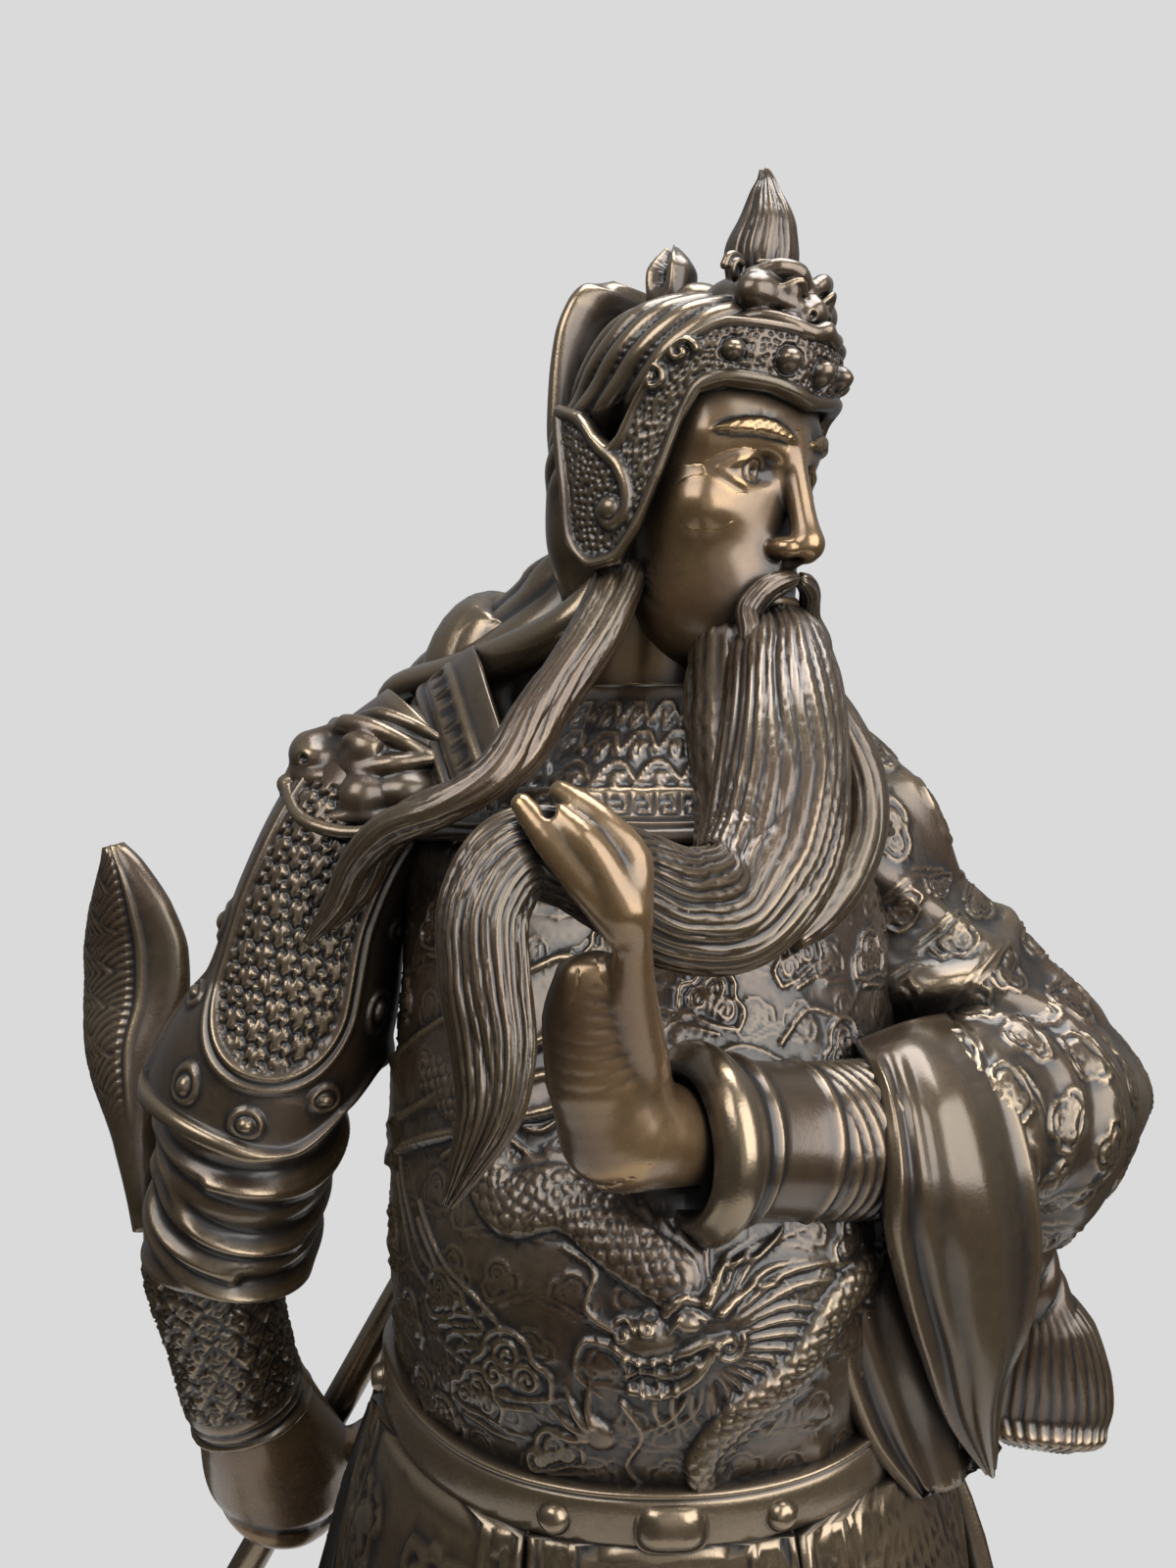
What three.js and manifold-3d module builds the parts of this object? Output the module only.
// A cast bronze statue of a long-bearded warrior in court armour on a low plinth. Its left hand
// strokes the beard and its right hand holds a crescent-bladed halberd behind its back.
// Millimetres, +Z up. The figure faces -Y and its left side is +X.
// The origin is the centre of the plinth's underside.
import * as THREE from "three";
import { mergeVertices } from "three/addons/utils/BufferGeometryUtils.js";
import Module from "manifold-3d";

const wasm = await Module();
wasm.setup();

// Driving dimensions, in millimetres
const FIGURE_HEIGHT = 592; // sole to the tip of the plume
const PLINTH_LENGTH = 244;
const PLINTH_DEPTH = 206;
const PLINTH_HEIGHT = 30;
const PLINTH_RIM_HEIGHT = 7;
const PLINTH_WAIST_INSET = 7;
const PLINTH_EDGE = 2; // height and inset of each small slope on the moulding
const SHAFT_DIAMETER = 9;
const SHAFT_ABOVE_FIST = 232;
const SHAFT_BELOW_FIST = 138;
const BLADE_LENGTH = 104;
const BLADE_WIDTH = 44;
const BLADE_THICKNESS = 4;
const SOCKET_LENGTH = 22;
const SOCKET_DIAMETER = 17;
const BUTT_LENGTH = 16;
const BUTT_DIAMETER = 13;
const BURIED = 2; // how far the shaft runs into its socket and its butt
const GRIP_CLEARANCE = 0.4; // between the shaft and the fist's bore, all round
const GRIP_WALL = 7; // least bronze round the bore in the fist

// The figure is laid out in shares of its own height: one share is 1/592 of it,
// so that at the nominal height a share is a millimetre above the soles.
const SHARES = 592;
const share = FIGURE_HEIGHT / SHARES;

const BRONZE = { color: 0x5a4636, roughness: 0.38, metalness: 0.85 };
const DARK_BRONZE = { color: 0x4a3a2e, roughness: 0.45, metalness: 0.85 };
const GILT_BRONZE = { color: 0x7d6440, roughness: 0.35, metalness: 0.9 };

const FORWARD = new THREE.Vector3(0, -1, 0);
const UP = new THREE.Vector3(0, 0, 1);
const FULL_TURN = 2 * Math.PI;

// Facets round each kind of form
const TRUNK_SIDES = 28;
const CAPE_SIDES = 22;
const HEAD_SIDES = 14;
const SLEEVE_SIDES = 14;
const LIMB_SIDES = 12;
const HAND_SIDES = 8;
const LOCK_SIDES = 5;
const SHAFT_SIDES = 10;
const BORE_SIDES = 14;
const PLINTH_SIDES = 28;
const BOXY = 2.6; // superellipse power of the plinth, the hood and the boots

// A point of the figure, given in shares above the soles
function at(x, y, z) {
  return new THREE.Vector3(x * share, y * share, z * share + PLINTH_HEIGHT);
}

// Turns a three.js geometry into a closed solid with its faces pointing out
function solid(geometry) {
  const bare = geometry.index ? geometry.toNonIndexed() : geometry.clone();
  bare.deleteAttribute("normal");
  bare.deleteAttribute("uv");
  const merged = mergeVertices(bare, 1e-4);
  const mesh = (triVerts) =>
    new wasm.Mesh({
      numProp: 3,
      vertProperties: merged.attributes.position.array,
      triVerts,
    });
  const index = new Uint32Array(merged.index.array);
  const made = new wasm.Manifold(mesh(index));
  if (made.volume() > 0) return made;
  return new wasm.Manifold(mesh(index.reverse()));
}

function joined(solids) {
  return solids.reduce((sum, next) => sum.add(next));
}

// A named three.js mesh of a finished solid
function meshOf(name, made, material) {
  const { vertProperties, triVerts } = made.getMesh();
  const geometry = new THREE.BufferGeometry();
  geometry.setAttribute("position", new THREE.BufferAttribute(vertProperties, 3));
  geometry.setIndex(new THREE.BufferAttribute(triVerts, 1));
  geometry.computeVertexNormals();
  const mesh = new THREE.Mesh(geometry, new THREE.MeshStandardMaterial(material));
  mesh.name = name;
  return mesh;
}

// Closed skin through rings of equally many points, with a fan on each end
function skinned(rings) {
  const sides = rings[0].length;
  const positions = [];
  const triangle = (a, b, c) => positions.push(...a.toArray(), ...b.toArray(), ...c.toArray());
  for (let r = 0; r + 1 < rings.length; r++) {
    for (let s = 0; s < sides; s++) {
      const next = (s + 1) % sides;
      triangle(rings[r][s], rings[r][next], rings[r + 1][next]);
      triangle(rings[r][s], rings[r + 1][next], rings[r + 1][s]);
    }
  }
  const middle = (ring) =>
    ring.reduce((sum, p) => sum.add(p), new THREE.Vector3()).divideScalar(sides);
  const first = rings[0];
  const last = rings[rings.length - 1];
  for (let s = 0; s < sides; s++) {
    const next = (s + 1) % sides;
    triangle(first[next], first[s], middle(first));
    triangle(last[s], last[next], middle(last));
  }
  const geometry = new THREE.BufferGeometry();
  geometry.setAttribute("position", new THREE.Float32BufferAttribute(positions, 3));
  return solid(geometry);
}

// A limb, lock or ribbon: sections of given width and thickness along a smooth path.
// Each station is [x, y, z, width, thickness] in shares; the broad side looks along face.
function sweep(stations, { face = FORWARD, steps, sides, power = 2, place = at }) {
  const path = new THREE.CatmullRomCurve3(
    stations.map(([x, y, z]) => place(x, y, z)),
    false,
    "centripetal",
  );
  const sizes = new THREE.CatmullRomCurve3(
    stations.map((station) => new THREE.Vector3(station[3], station[4], 0)),
    false,
    "centripetal",
  );
  const rings = [];
  for (let i = 0; i <= steps; i++) {
    const t = i / steps;
    const centre = path.getPoint(t);
    const tangent = path.getTangent(t);
    const size = sizes.getPoint(t).multiplyScalar(share / 2);
    const across = new THREE.Vector3().crossVectors(tangent, face).normalize();
    const outward = new THREE.Vector3().crossVectors(across, tangent).normalize();
    rings.push(oval(centre, across, outward, size.x, size.y, sides, power));
  }
  return skinned(rings);
}

// A ring of points on a superellipse
function oval(centre, across, outward, halfWidth, halfThickness, sides, power = 2) {
  const ring = [];
  for (let s = 0; s < sides; s++) {
    const angle = (FULL_TURN * s) / sides;
    const [c, d] = squared(angle, power);
    ring.push(
      centre.clone().addScaledVector(across, c * halfWidth).addScaledVector(outward, d * halfThickness),
    );
  }
  return ring;
}

// Cosine and sine of an angle, squared off by a superellipse's power
function squared(angle, power) {
  const bend = (v) => Math.sign(v) * Math.abs(v) ** (2 / power);
  return [bend(Math.cos(angle)), bend(Math.sin(angle))];
}

function ellipsoid(centre, radii, turn = new THREE.Euler(), detail = [14, 10]) {
  const geometry = new THREE.SphereGeometry(1, ...detail);
  geometry.scale(radii[0] * share, radii[1] * share, radii[2] * share);
  geometry.applyMatrix4(new THREE.Matrix4().makeRotationFromEuler(turn));
  geometry.translate(centre.x, centre.y, centre.z);
  return solid(geometry);
}

// Trunk and robe: height, centre x and y, half width, reach to the front and to the back
const TRUNK = [
  [0, 0, -4, 88, 66, 62],
  [40, 0, -5, 85, 65, 60],
  [100, 0, -7, 80, 63, 57],
  [170, 0, -9, 75, 62, 54],
  [230, 0, -11, 70, 61, 52],
  [280, 1, -13, 65, 60, 50],
  [311, 0, -15, 57, 59, 48],
  [335, 0, -17, 59, 66, 50],
  [360, 0, -18, 60, 67, 52],
  [390, 0, -12, 58, 58, 48],
  [420, 0, -8, 58, 48, 42],
  [443, 0, -6, 57, 40, 36],
  [458, 1, -3, 46, 31, 29],
  [468, 3, 0, 33, 24, 24],
  [480, 6, 0, 22, 19, 20],
];
const ROBE_SECTIONS = [0, 60, 120, 180, 240];
const ROBE_TOP = 240; // above this the trunk takes its own table's sections
const BELT_HEIGHT = 311;
const FOLD_COUNT = 7;
const FOLD_DEPTH = 0.09; // of the robe's radius at the hem
const HEM_LIFT = 20; // the robe's front edge above the soles, clear of the boots

// One row of the trunk table at any height
function trunkAt(z) {
  const top = TRUNK.findIndex((row) => row[0] >= z);
  const b = Math.max(1, top < 0 ? TRUNK.length - 1 : top);
  const t = THREE.MathUtils.clamp((z - TRUNK[b - 1][0]) / (TRUNK[b][0] - TRUNK[b - 1][0]), 0, 1);
  return TRUNK[b].map((v, i) => THREE.MathUtils.lerp(TRUNK[b - 1][i], v, t));
}

// A point on the trunk, turned from the front towards the figure's left, raised off the surface
function onTrunk(turn, z, raised = 0) {
  const [, cx, cy, halfWidth, front, back] = trunkAt(z);
  const fold = z < BELT_HEIGHT ? (1 - z / BELT_HEIGHT) * FOLD_DEPTH * Math.cos(FOLD_COUNT * turn) : 0;
  const reach = Math.cos(turn) > 0 ? front : back;
  return [
    cx + Math.sin(turn) * (halfWidth * (1 + fold) + raised),
    cy - Math.cos(turn) * (reach * (1 + fold) + raised),
    z,
  ];
}

function trunk() {
  const upper = TRUNK.map(([z]) => z).filter((z) => z > ROBE_TOP);
  const rings = [...ROBE_SECTIONS, ...upper].map((z) =>
    Array.from({ length: TRUNK_SIDES }, (_, s) => {
      const turn = (FULL_TURN * s) / TRUNK_SIDES;
      const frontness = THREE.MathUtils.smoothstep(Math.cos(turn), 0.1, 0.8);
      const lift = z === 0 ? HEM_LIFT * frontness : 0;
      const [x, y] = onTrunk(turn, z);
      return at(x, y, z + lift);
    }),
  );
  return skinned(rings);
}

// A plate that follows the trunk between two turns and two heights, with a rounded lower end.
// It stands off the trunk and flares out towards that end, and its back is sunk in the trunk.
const PLATE_STEPS = 4;
const PLATE_SUNK = 3;
const PLATE_ROUNDING = 0.3; // share of the plate's height by which its lower corners rise
function plate([fromTurn, toTurn, top, bottom, standOff, flare]) {
  const grid = (sunk) =>
    Array.from({ length: PLATE_STEPS + 1 }, (_, j) =>
      Array.from({ length: PLATE_STEPS + 1 }, (_, i) => {
        const u = i / PLATE_STEPS;
        const v = j / PLATE_STEPS;
        const low = THREE.MathUtils.lerp(bottom, top, PLATE_ROUNDING * Math.abs(2 * u - 1) ** 3);
        const z = THREE.MathUtils.lerp(top, low, v);
        const turn = THREE.MathUtils.lerp(fromTurn, toTurn, u);
        return at(...onTrunk(turn, z, standOff + flare * v - sunk));
      }),
    );
  return slab(grid(0), grid(standOff + flare * 0.6 + PLATE_SUNK));
}

// A closed slab between two equal grids of points
function slab(front, back) {
  const positions = [];
  const quad = (a, b, c, d) => {
    positions.push(...a.toArray(), ...b.toArray(), ...c.toArray());
    positions.push(...a.toArray(), ...c.toArray(), ...d.toArray());
  };
  const rows = front.length - 1;
  const columns = front[0].length - 1;
  for (let j = 0; j < rows; j++) {
    for (let i = 0; i < columns; i++) {
      quad(front[j][i], front[j + 1][i], front[j + 1][i + 1], front[j][i + 1]);
      quad(back[j][i], back[j][i + 1], back[j + 1][i + 1], back[j + 1][i]);
    }
  }
  for (let i = 0; i < columns; i++) {
    quad(front[0][i], front[0][i + 1], back[0][i + 1], back[0][i]);
    quad(front[rows][i], back[rows][i], back[rows][i + 1], front[rows][i + 1]);
  }
  for (let j = 0; j < rows; j++) {
    quad(front[j][0], back[j][0], back[j + 1][0], front[j + 1][0]);
    quad(front[j][columns], front[j + 1][columns], back[j + 1][columns], back[j][columns]);
  }
  const geometry = new THREE.BufferGeometry();
  geometry.setAttribute("position", new THREE.Float32BufferAttribute(positions, 3));
  return solid(geometry);
}

// A hoop round the trunk at one height: the belt, or the edge of a shoulder cape
function hoop(rows, sides) {
  return skinned(
    rows.map(([z, raised]) =>
      Array.from({ length: sides }, (_, s) =>
        at(...onTrunk((FULL_TURN * s) / sides, z, raised)),
      ),
    ),
  );
}

const BELT_HALF_HEIGHT = 8;
const BELT_PROUD = 5;
const BELT_SUNK = 2;
function belt() {
  const low = BELT_HEIGHT - BELT_HALF_HEIGHT;
  const high = BELT_HEIGHT + BELT_HALF_HEIGHT;
  return joined([
    hoop(
      [
        [low, -BELT_SUNK],
        [low, BELT_PROUD],
        [high, BELT_PROUD - 1],
        [high, -BELT_SUNK],
      ],
      TRUNK_SIDES,
    ),
    ...BUCKLES.map(([turn, width, height]) => boss(turn, BELT_HEIGHT, BELT_PROUD - 1, width, height)),
  ]);
}

// Plates on the belt: turn from the front, half width, half height
const BUCKLES = [
  [0, 7, 5.5],
  [-0.42, 3.4, 3.4],
  [0.42, 3.4, 3.4],
];

// A rounded boss on the trunk
function boss(turn, z, raised, halfWidth, halfHeight) {
  return ellipsoid(
    at(...onTrunk(turn, z, raised)),
    [halfWidth, 4, halfHeight],
    new THREE.Euler(0, 0, turn),
    [6, 4],
  );
}

// The cloud-edged shoulder cape: a shell a little proud of the chest, highest round the neck
function shoulderCape() {
  const rows = [
    [441, -2],
    [441, 4.5],
    [452, 6],
    [474, 4],
    [474, -2],
  ];
  return hoop(rows, CAPE_SIDES);
}

// Head, turned to the figure's left and bowed a little
const HEAD_CENTRE = [8, -10, 522];
const HEAD_YAW = THREE.MathUtils.degToRad(48);
const HEAD_BOW = THREE.MathUtils.degToRad(8);
const HEAD_TURN = new THREE.Euler(HEAD_BOW, 0, HEAD_YAW, "ZYX");

// A point of the head: x to its left, y to its back, z up from its centre, in shares
function onHead(x, y, z) {
  const offset = new THREE.Vector3(x, y, z).applyEuler(HEAD_TURN);
  return at(HEAD_CENTRE[0] + offset.x, HEAD_CENTRE[1] + offset.y, HEAD_CENTRE[2] + offset.z);
}

function headPart(x, y, z, radii, detail) {
  return ellipsoid(onHead(x, y, z), radii, HEAD_TURN, detail);
}

function headAxis(x, y, z) {
  return new THREE.Vector3(x, y, z).applyEuler(HEAD_TURN);
}

// Sections of the face from the chin up: height, half width, front, back
const FACE = [
  [-46, 8, -33, -18],
  [-41, 16, -36, -8],
  [-30, 20, -36, 2],
  [-14, 22.5, -35, 10],
  [2, 24.5, -34, 18],
  [28, 24, -30, 20],
];

function head() {
  const face = skinned(
    FACE.map(([z, halfWidth, front, back]) => headRing(z, halfWidth, front, back)),
  );
  const nose = sweep(
    [
      [0, -32, 9, 5, 5],
      [0, -36, 0, 7, 7],
      [0, -38, -7, 11, 8],
      [0, -33, -10, 8, 5],
    ],
    { place: onHead, face: headAxis(0, -1, 0), steps: 3, sides: 6 },
  );
  const neck = sweep(
    [
      [4, 4, 462, 46, 46],
      [5, 0, 482, 38, 40],
      [8, -2, 505, 36, 38],
    ],
    { steps: 2, sides: 10 },
  );
  return joined([face, nose, neck]);
}

// Sections of the helmet's cap from the nape up: height, half width, front, back, dip at the back
const CAP = [
  [-28, 20, 0, 25, 0],
  [-14, 26, 0, 28, 0],
  [8, 28.5, 0, 31, 0],
  [22, 29.5, -32, 32, 5],
  [28, 31, -35, 34, 6],
  [38, 27, -32, 33, 5],
  [43, 18, -22, 26, 3],
  [46, 7, -8, 12, 0],
];

// Cap of the helmet with its brow band, the upright fold of the hood and the ear guards
function helmet() {
  const cap = skinned(CAP.map(([z, w, front, back, dip]) => headRing(z, w, front, back, dip)));
  const lobe = sweep(
    [
      [0, 26, 0, 36, 12],
      [0, 27, 18, 41, 14],
      [0, 27, 34, 40, 14],
      [0, 25, 45, 32, 12],
      [0, 23, 53, 14, 5],
    ],
    { place: onHead, face: headAxis(0, 1, 0), steps: 5, sides: 8 },
  );
  const bud = sweep(
    [
      [0, 6, 40, 11, 10],
      [0, 7, 50, 15, 12],
      [0, 8, 57, 10, 9],
      [0, 9, 61, 3, 3],
    ],
    { place: onHead, face: headAxis(0, -1, 0), steps: 4, sides: 6 },
  );
  return joined([cap, lobe, bud, ...[-1, 1].map(earGuard)]);
}

// A level ring round the head, its back end dropped by the dip
function headRing(z, halfWidth, front, back, dip = 0) {
  return Array.from({ length: HEAD_SIDES }, (_, s) => {
    const angle = (FULL_TURN * s) / HEAD_SIDES;
    const backness = (1 + Math.cos(angle)) / 2;
    const y = THREE.MathUtils.lerp(front, back, backness);
    return onHead(halfWidth * Math.sin(angle), y, z - dip * backness);
  });
}

// One ear guard; side is -1 for the figure's right ear
function earGuard(side) {
  return sweep(
    [
      [side * 28, -6, 30, 18, 7],
      [side * 30, -1, 14, 28, 7],
      [side * 31, 0, 0, 27, 7],
      [side * 30, -1, -11, 23, 7],
      [side * 28, -1, -19, 13, 6],
      [side * 27, -1, -22, 4, 4],
    ],
    { place: onHead, face: headAxis(side, 0, 0), steps: 5, sides: 8, power: 3 },
  );
}

// Lion mask over the brow with the plume that stands on it
function crest() {
  const plume = sweep(
    [
      [0, -19, 44, 10, 10],
      [0, -19, 52, 16, 15],
      [0, -17, 60, 13, 13],
      [0, -14, 68, 6, 6],
      [0, -12, 73, 2, 2],
    ],
    { place: onHead, face: headAxis(0, -1, 0), steps: 6, sides: 8 },
  );
  return joined([
    plume,
    headPart(0, -20, 41, [16, 13, 9], [10, 6]),
    headPart(0, -30, 37, [11, 7, 6], [8, 5]),
    headPart(0, -34, 40, [5, 4, 4], [6, 4]),
    ...[-1, 1].map((side) => headPart(side * 9, -27, 45, [5, 5, 4], [6, 4])),
  ]);
}

// Hood cloth behind the neck, spread over the shoulders and down the back
function hood() {
  const drape = sweep(
    [
      [-6, 12, 520, 46, 30],
      [-10, 17, 500, 54, 34],
      [-14, 22, 481, 92, 36],
      [-9, 25, 466, 100, 36],
      [-3, 27, 445, 100, 34],
      [0, 29, 410, 92, 26],
      [0, 31, 370, 84, 20],
      [0, 30, 345, 72, 12],
    ],
    { steps: 7, sides: LIMB_SIDES, power: BOXY },
  );
  const rightRim = sweep(
    [
      [-18, -14, 505, 12, 12],
      [-30, -4, 493, 14, 12],
      [-46, 8, 483, 16, 12],
      [-62, 20, 475, 14, 10],
      [-66, 28, 466, 6, 6],
    ],
    { face: UP, steps: 5, sides: 6 },
  );
  return joined([drape, rightRim]);
}

// Beard: from the chin down the chest, across to the hand, over it and down in a tail
const BEARD = [
  [26, -33, 496, 22, 16],
  [27, -42, 484, 22, 16],
  [26, -53, 469, 24, 17],
  [25, -62, 453, 27, 17],
  [22, -70, 439, 28, 17],
  [14, -79, 429, 26, 16],
  [3, -90, 429, 22, 14],
  [-7, -101, 435, 18, 12],
  [-16, -110, 441, 15, 11],
  [-24, -115, 442, 13, 11],
  [-28, -118, 435, 13, 10],
  [-27, -119, 424, 12, 10],
  [-26, -119, 411, 11, 10],
  [-28, -119, 401, 9, 8],
  [-34, -120, 390, 2, 2],
];
const RIGHT_LOCK = [
  [-9, -28, 499, 8, 7],
  [-16, -37, 483, 9, 8],
  [-26, -45, 468, 9, 8],
  [-34, -50, 455, 9, 8],
  [-45, -50, 448, 8, 8],
  [-57, -46, 443, 8, 8],
  [-65, -40, 435, 7, 8],
  [-69, -37, 427, 6, 8],
  [-76, -35, 418, 2, 3],
];
const LEFT_LOCK = [
  [36, -28, 481, 8, 12],
  [48, -32, 466, 8, 12],
  [56, -32, 453, 9, 12],
  [55, -34, 439, 9, 12],
  [47, -40, 427, 9, 13],
  [38, -48, 418, 7, 11],
  [28, -55, 413, 3, 7],
];
// Root that fills the space between the beard and the chest
const BEARD_ROOT = [
  [18, -24, 486, 26, 22],
  [20, -34, 465, 26, 26],
  [20, -46, 445, 24, 26],
  [16, -56, 430, 20, 22],
];

function hair() {
  return joined([
    sweep(BEARD, { steps: 19, sides: 10 }),
    sweep(BEARD_ROOT, { steps: 3, sides: 8 }),
    sweep(RIGHT_LOCK, { steps: 11, sides: LOCK_SIDES }),
    sweep(LEFT_LOCK, { steps: 8, sides: LOCK_SIDES }),
  ]);
}

// Right arm, hanging, with its mail sleeve, cloth sleeve, bracer and the fist on the shaft
const RIGHT_ARM = {
  mail: [
    [-50, -2, 462, 38, 40],
    [-66, -5, 447, 40, 46],
    [-77, -7, 425, 41, 48],
    [-83, -7, 401, 48, 52],
    [-91, -6, 387, 60, 56],
    [-94, -5, 376, 50, 54],
    [-95, -5, 368, 34, 44],
  ],
  sleeve: [
    [-96, -3, 380, 46, 46],
    [-98, 0, 365, 51, 48],
    [-103, 3, 352, 46, 46],
    [-108, 5, 340, 48, 43],
    [-108, 7, 331, 42, 38],
    [-108, 8, 326, 30, 30],
  ],
  bracer: [
    [-108, 8, 332, 28, 28],
    [-105, 12, 314, 26, 27],
    [-103, 17, 300, 28, 27],
    [-101, 21, 292, 29, 27],
  ],
  hand: [
    [-101, 19, 297, 25, 24],
    [-99, 26, 285, 33, 28],
    [-97, 34, 272, 38, 30],
    [-95, 38, 262, 32, 28],
    [-95, 40, 254, 14, 14],
  ],
};
// Centre of the fist's bore, and the way the shaft runs through it towards the shoulder
const GRIP = [-92, 45, 266];
const SHAFT_RUN = new THREE.Vector3(0.493, 0.11, 0.863).normalize();

function rightArm() {
  const fingers = [0, 1, 2, 3].map((i) => {
    const along = (1.5 - i) * 8;
    const [x, y, z] = GRIP.map((v, k) => v + SHAFT_RUN.getComponent(k) * along);
    return sweep(
      [
        [x - 14, y - 6, z - 1, 9, 9],
        [x - 4, y - 14, z - 2, 10, 10],
        [x + 8, y - 10, z + 1, 10, 10],
        [x + 12, y + 2, z + 4, 8, 9],
      ],
      { steps: 3, sides: 5, face: SHAFT_RUN },
    );
  });
  return joined([
    sweep(RIGHT_ARM.mail, { steps: 6, sides: SLEEVE_SIDES }),
    sweep(RIGHT_ARM.sleeve, { steps: 6, sides: SLEEVE_SIDES }),
    sweep(RIGHT_ARM.bracer, { steps: 3, sides: 10 }),
    sweep(RIGHT_ARM.hand, { steps: 5, sides: HAND_SIDES }),
    ...fingers,
    palm(),
  ]);
}

// Palm that closes round the shaft: distance along the shaft in shares, share of its radius
const PALM = [
  [-17, 0.55],
  [-14, 0.95],
  [0, 1.05],
  [12, 0.95],
  [16, 0.55],
];
function palm() {
  const radius = SHAFT_DIAMETER / 2 + GRIP_CLEARANCE + GRIP_WALL;
  return alongShaft(PALM.map(([along, r]) => [along * share, r * radius]));
}

// A turned form on the shaft's line: distance along it from the grip, and radius, in millimetres
function alongShaft(profile, sides = SHAFT_SIDES) {
  const grip = at(...GRIP);
  const side = new THREE.Vector3().crossVectors(SHAFT_RUN, FORWARD).normalize();
  const front = new THREE.Vector3().crossVectors(side, SHAFT_RUN).normalize();
  return skinned(
    profile.map(([along, radius]) =>
      oval(grip.clone().addScaledVector(SHAFT_RUN, along), side, front, radius, radius, sides),
    ),
  );
}

// Lion mask on the right shoulder, its muzzle to the figure's right
function pauldron() {
  const crown = new THREE.Euler(0, -0.55, 0.1);
  return joined([
    ellipsoid(at(-62, -6, 458), [22, 22, 17], crown, [10, 6]),
    ellipsoid(at(-76, -14, 452), [12, 13, 10], crown, [7, 5]),
    ellipsoid(at(-83, -8, 459), [7, 9, 6], crown, [6, 4]),
    ellipsoid(at(-68, -24, 461), [9, 5, 4], crown, [6, 4]),
  ]);
}

// The long end of the right sleeve, blown up behind the arm
const SLEEVE_WING = [
  [-125, 14, 344, 8, 16],
  [-128, 16, 358, 10, 15],
  [-131, 19, 372, 14, 13],
  [-135, 22, 385, 20, 12],
  [-132, 25, 397, 31, 12],
  [-132, 26, 409, 31, 11],
  [-133, 26, 422, 24, 10],
  [-133, 25, 434, 5, 5],
];

// Left arm, its wide sleeve hanging open below the forearm, and the hand in the beard
const LEFT_ARM = {
  upper: [
    [36, 2, 459, 36, 44],
    [48, 0, 442, 44, 52],
    [62, 0, 418, 46, 56],
    [80, -2, 395, 50, 56],
    [92, -5, 377, 52, 54],
    [92, -8, 357, 36, 38],
    [89, -8, 341, 12, 16],
  ],
  fore: [
    [96, -4, 378, 48, 44],
    [74, -28, 379, 46, 42],
    [56, -46, 380, 40, 38],
    [44, -56, 380, 33, 33],
    [26, -68, 382, 31, 31],
    [14, -75, 384, 31, 31],
    [8, -79, 384, 22, 24],
  ],
  curtain: [
    [60, -40, 396, 34, 30],
    [57, -44, 378, 46, 34],
    [56, -46, 358, 50, 34],
    [59, -46, 338, 42, 30],
    [63, -44, 320, 32, 22],
    [67, -43, 308, 20, 14],
    [70, -42, 300, 5, 5],
  ],
  tail: [
    [88, -10, 352, 20, 24],
    [93, -6, 337, 18, 20],
    [100, 0, 321, 24, 16],
    [104, 2, 306, 30, 14],
    [104, 2, 294, 26, 12],
    [102, 1, 286, 8, 6],
  ],
  hand: [
    [12, -76, 384, 22, 22],
    [1, -81, 383, 24, 22],
    [-9, -86, 389, 25, 20],
    [-12, -91, 402, 21, 17],
    [-11, -97, 416, 18, 14],
    [-12, -102, 428, 17, 12],
    [-15, -106, 437, 16, 10],
    [-20, -110, 445, 10, 8],
  ],
};
const SLEEVE_HOLLOW = [
  [24, -56, 368, 18, 10],
  [36, -54, 354, 26, 12],
  [46, -51, 338, 22, 12],
  [53, -48, 322, 12, 8],
];

function leftArm() {
  const curtain = sweep(LEFT_ARM.curtain, { steps: 8, sides: LIMB_SIDES });
  const sleeve = curtain.subtract(sweep(SLEEVE_HOLLOW, { steps: 4, sides: HAND_SIDES }));
  const fingers = [0, 1, 2, 3].map((i) =>
    sweep(
      [
        [-13 + i * 1.6, -101 - i * 0.5, 433 + i * 2, 6, 6],
        [-19 + i * 1.8, -108 - i * 0.4, 442 + i * 2, 6.5, 6.5],
        [-25 + i * 2.2, -112 + i * 0.6, 447 + i * 1.6, 6, 6],
        [-30 + i * 2.4, -112 + i * 1.4, 449 + i * 1.2, 4, 4],
      ],
      { steps: 2, sides: 5 },
    ),
  );
  return joined([
    sleeve,
    sweep(LEFT_ARM.upper, { steps: 8, sides: LIMB_SIDES }),
    sweep(LEFT_ARM.fore, { steps: 8, sides: LIMB_SIDES, face: UP }),
    sweep(LEFT_ARM.tail, { steps: 6, sides: HAND_SIDES }),
    sweep(LEFT_ARM.hand, { steps: 7, sides: HAND_SIDES }),
    ...fingers,
  ]);
}

// Plates and cloth ends that hang from the belt: from turn, to turn, top, bottom, stand-off, flare
const SKIRT_PLATES = [
  [-0.4, 0.4, 300, 96, 4, 4],
  [-1.35, -0.45, 302, 128, 5, 7],
  [0.45, 1.35, 302, 128, 5, 7],
  [-2.2, -1.42, 304, 200, 4, 13],
  [1.42, 2.2, 304, 200, 4, 16],
  [2.5, 3.78, 304, 70, 3, 5],
];

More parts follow.
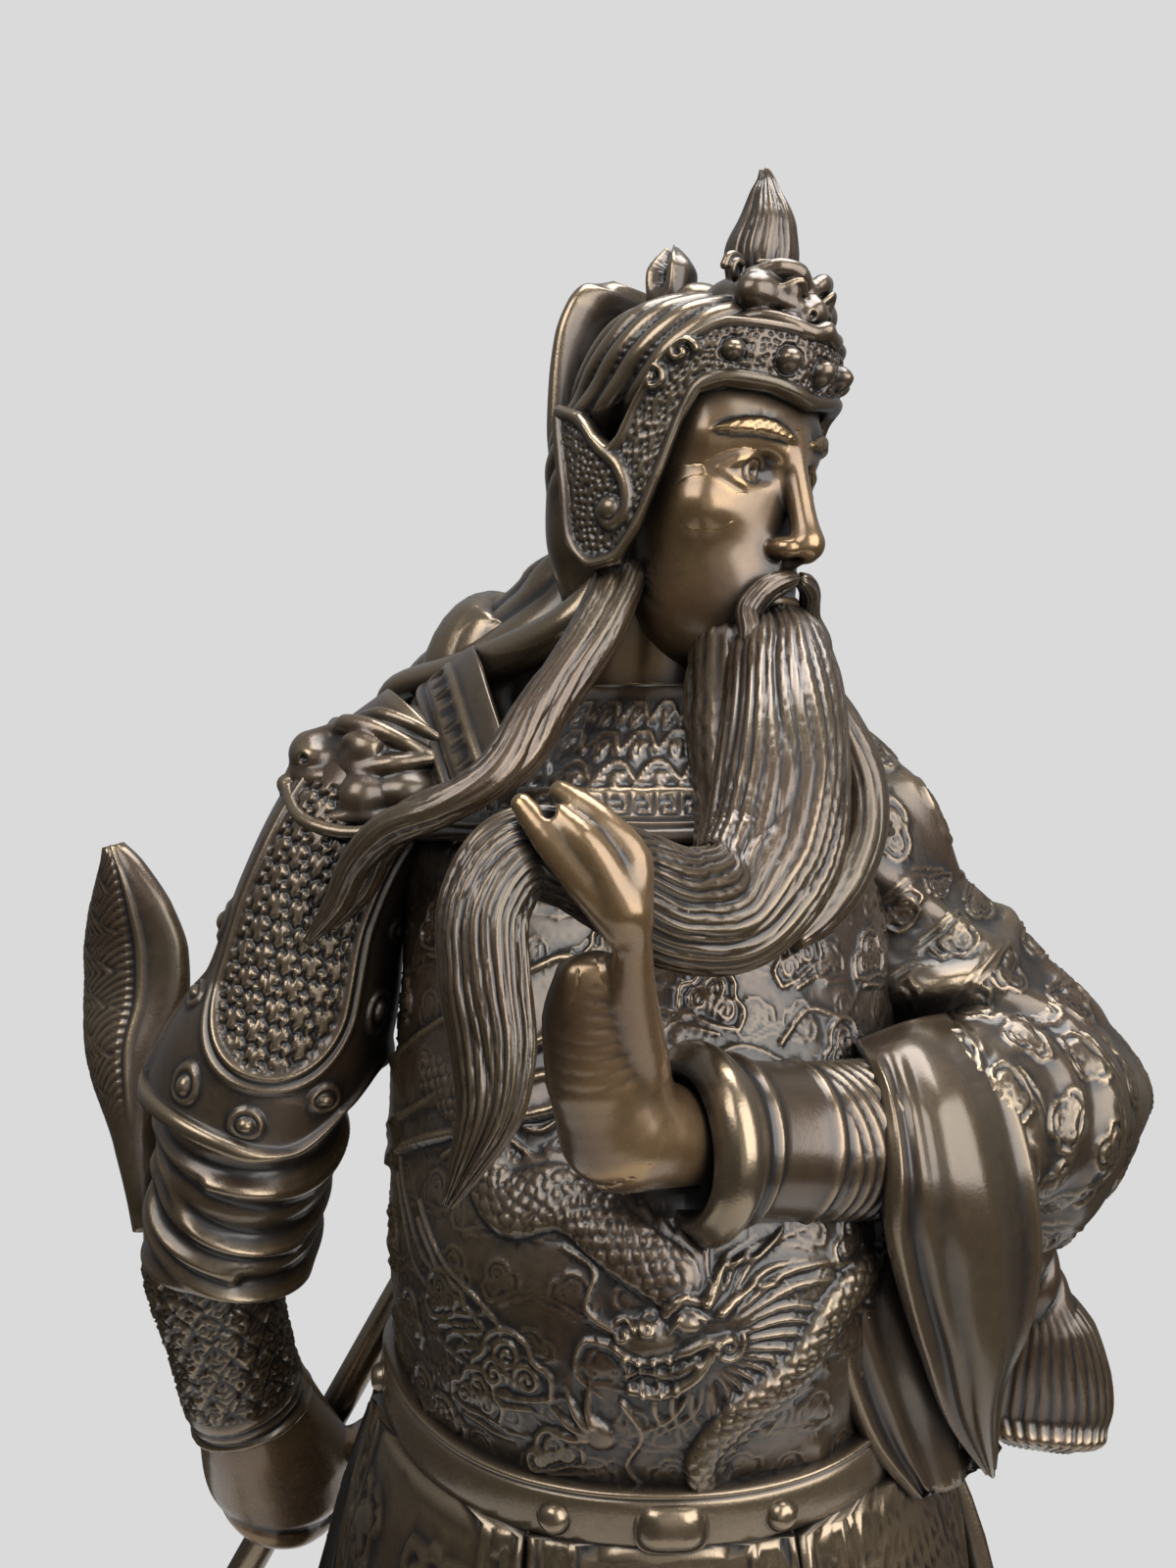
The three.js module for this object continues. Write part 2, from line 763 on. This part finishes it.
// Boots: heel and toe on the ground. Sections: share of the length, height, width, thickness
const BOOTS = [
  { heel: [-34, -20], toe: [-50, -88] },
  { heel: [34, -22], toe: [44, -92] },
];
const BOOT_SECTIONS = [
  [0, 12, 24, 20],
  [0.3, 13, 28, 24],
  [0.6, 12, 30, 21],
  [0.85, 11, 25, 17],
  [0.97, 13, 17, 13],
  [1.03, 18, 7, 6],
];
const SOLE_THICKNESS = 6;
const SOLE_HALF_WIDTH = 15;
const SOLE_OVERHANG = 1.1; // length of the sole for each length from heel to toe

function boot({ heel, toe }) {
  const run = new THREE.Vector3(toe[0] - heel[0], toe[1] - heel[1], 0);
  const upper = sweep(
    BOOT_SECTIONS.map(([t, ...rest]) => [heel[0] + run.x * t, heel[1] + run.y * t, ...rest]),
    { face: UP, steps: 5, sides: 10, power: BOXY },
  );
  const heading = run.clone().normalize();
  const beside = new THREE.Vector3(-heading.y, heading.x, 0);
  const soleEdge = (z) =>
    oval(at(heel[0] + run.x / 2, heel[1] + run.y / 2, z), beside, heading,
      SOLE_HALF_WIDTH * share, (SOLE_OVERHANG / 2) * run.length() * share, SLEEVE_SIDES, BOXY);
  return upper.add(skinned([soleEdge(0), soleEdge(SOLE_THICKNESS)]));
}

// The whole cast figure, bored for the shaft through its right fist
const BORE_REACH = 60;
const WING_FACE = new THREE.Vector3(-0.35, -1, 0).normalize();
function figure() {
  const whole = joined([
    trunk(),
    belt(),
    shoulderCape(),
    ...SKIRT_PLATES.map(plate),
    ...BOOTS.map(boot),
    head(),
    helmet(),
    crest(),
    hood(),
    hair(),
    rightArm(),
    pauldron(),
    sweep(SLEEVE_WING, { steps: 8, sides: 10, face: WING_FACE }),
    leftArm(),
  ]);
  const radius = SHAFT_DIAMETER / 2 + GRIP_CLEARANCE;
  const ends = [-BORE_REACH * share, BORE_REACH * share];
  return whole.subtract(alongShaft(ends.map((along) => [along, radius]), BORE_SIDES));
}

// Oval plinth with a moulded edge
function plinth() {
  const waistTop = PLINTH_HEIGHT - PLINTH_RIM_HEIGHT;
  const rows = [
    [0, 0],
    [PLINTH_RIM_HEIGHT, 0],
    [PLINTH_RIM_HEIGHT + PLINTH_EDGE, PLINTH_WAIST_INSET],
    [waistTop - PLINTH_EDGE, PLINTH_WAIST_INSET],
    [waistTop, 0],
    [PLINTH_HEIGHT - PLINTH_EDGE, 0],
    [PLINTH_HEIGHT, PLINTH_EDGE],
  ];
  const right = new THREE.Vector3(1, 0, 0);
  const back = new THREE.Vector3(0, 1, 0);
  return skinned(
    rows.map(([z, inset]) =>
      oval(new THREE.Vector3(0, 0, z), right, back,
        PLINTH_LENGTH / 2 - inset, PLINTH_DEPTH / 2 - inset, PLINTH_SIDES, BOXY),
    ),
  );
}

// Crescent blade: share of its length, back and cutting edge in shares of its width.
// The back carries a spur just past the middle. Its ridge and its edges have shares of its thickness.
const BLADE_OUTLINE = [
  [0, -0.14, 0.14],
  [0.12, -0.2, 0.2],
  [0.28, -0.26, 0.42],
  [0.45, -0.32, 0.54],
  [0.57, -0.68, 0.57],
  [0.61, -0.3, 0.57],
  [0.78, -0.3, 0.5],
  [0.9, -0.38, 0.28],
  [1, -0.52, -0.42],
];

const BLADE_RIDGE = 0.35; // place of the ridge between the back and the cutting edge
const BACK_THICKNESS = 0.5;
const EDGE_THICKNESS = 0.16;
const BLADE_START = 0.8; // share of the socket's length at which the blade begins

// A point of the blade: share of its length from the socket, share of its width, side
function onBlade(along, across, side = 0) {
  const down = SHAFT_RUN.clone().negate();
  const outward = new THREE.Vector3().crossVectors(down, FORWARD).normalize();
  const normal = new THREE.Vector3().crossVectors(outward, down).normalize();
  return at(...GRIP)
    .addScaledVector(down, SHAFT_BELOW_FIST + SOCKET_LENGTH * BLADE_START + along * BLADE_LENGTH)
    .addScaledVector(outward, across * BLADE_WIDTH)
    .addScaledVector(normal, side * BLADE_THICKNESS);
}

function blade() {
  return skinned(
    BLADE_OUTLINE.map(([along, back, edge]) => {
      const ridge = THREE.MathUtils.lerp(back, edge, BLADE_RIDGE);
      return [
        onBlade(along, edge, EDGE_THICKNESS / 2),
        onBlade(along, ridge, 0.5),
        onBlade(along, back, BACK_THICKNESS / 2),
        onBlade(along, back, -BACK_THICKNESS / 2),
        onBlade(along, ridge, -0.5),
        onBlade(along, edge, -EDGE_THICKNESS / 2),
      ];
    }),
  );
}

// Socket and butt: share of their length from the shaft's end, share of their diameter
const SOCKET_PROFILE = [
  [0, 0.33],
  [0.3, 0.5],
  [0.7, 0.5],
  [1, 0.3],
];
const BUTT_PROFILE = [
  [0, 0.42],
  [0.3, 0.5],
  [0.6, 0.5],
  [1, 0.06],
];

function halberd() {
  const foot = -SHAFT_BELOW_FIST;
  const top = SHAFT_ABOVE_FIST;
  const radius = SHAFT_DIAMETER / 2;
  return joined([
    alongShaft([[foot - BURIED, radius], [top + BURIED, radius]]),
    alongShaft(SOCKET_PROFILE.map(([l, d]) => [foot - l * SOCKET_LENGTH, d * SOCKET_DIAMETER])),
    alongShaft(BUTT_PROFILE.map(([l, d]) => [top + l * BUTT_LENGTH, d * BUTT_DIAMETER])),
    blade(),
  ]);
}

const statue = new THREE.Group();
statue.add(meshOf("figure", figure(), BRONZE));
statue.add(meshOf("plinth", plinth(), DARK_BRONZE));
statue.add(meshOf("halberd", halberd(), GILT_BRONZE));

export default statue;
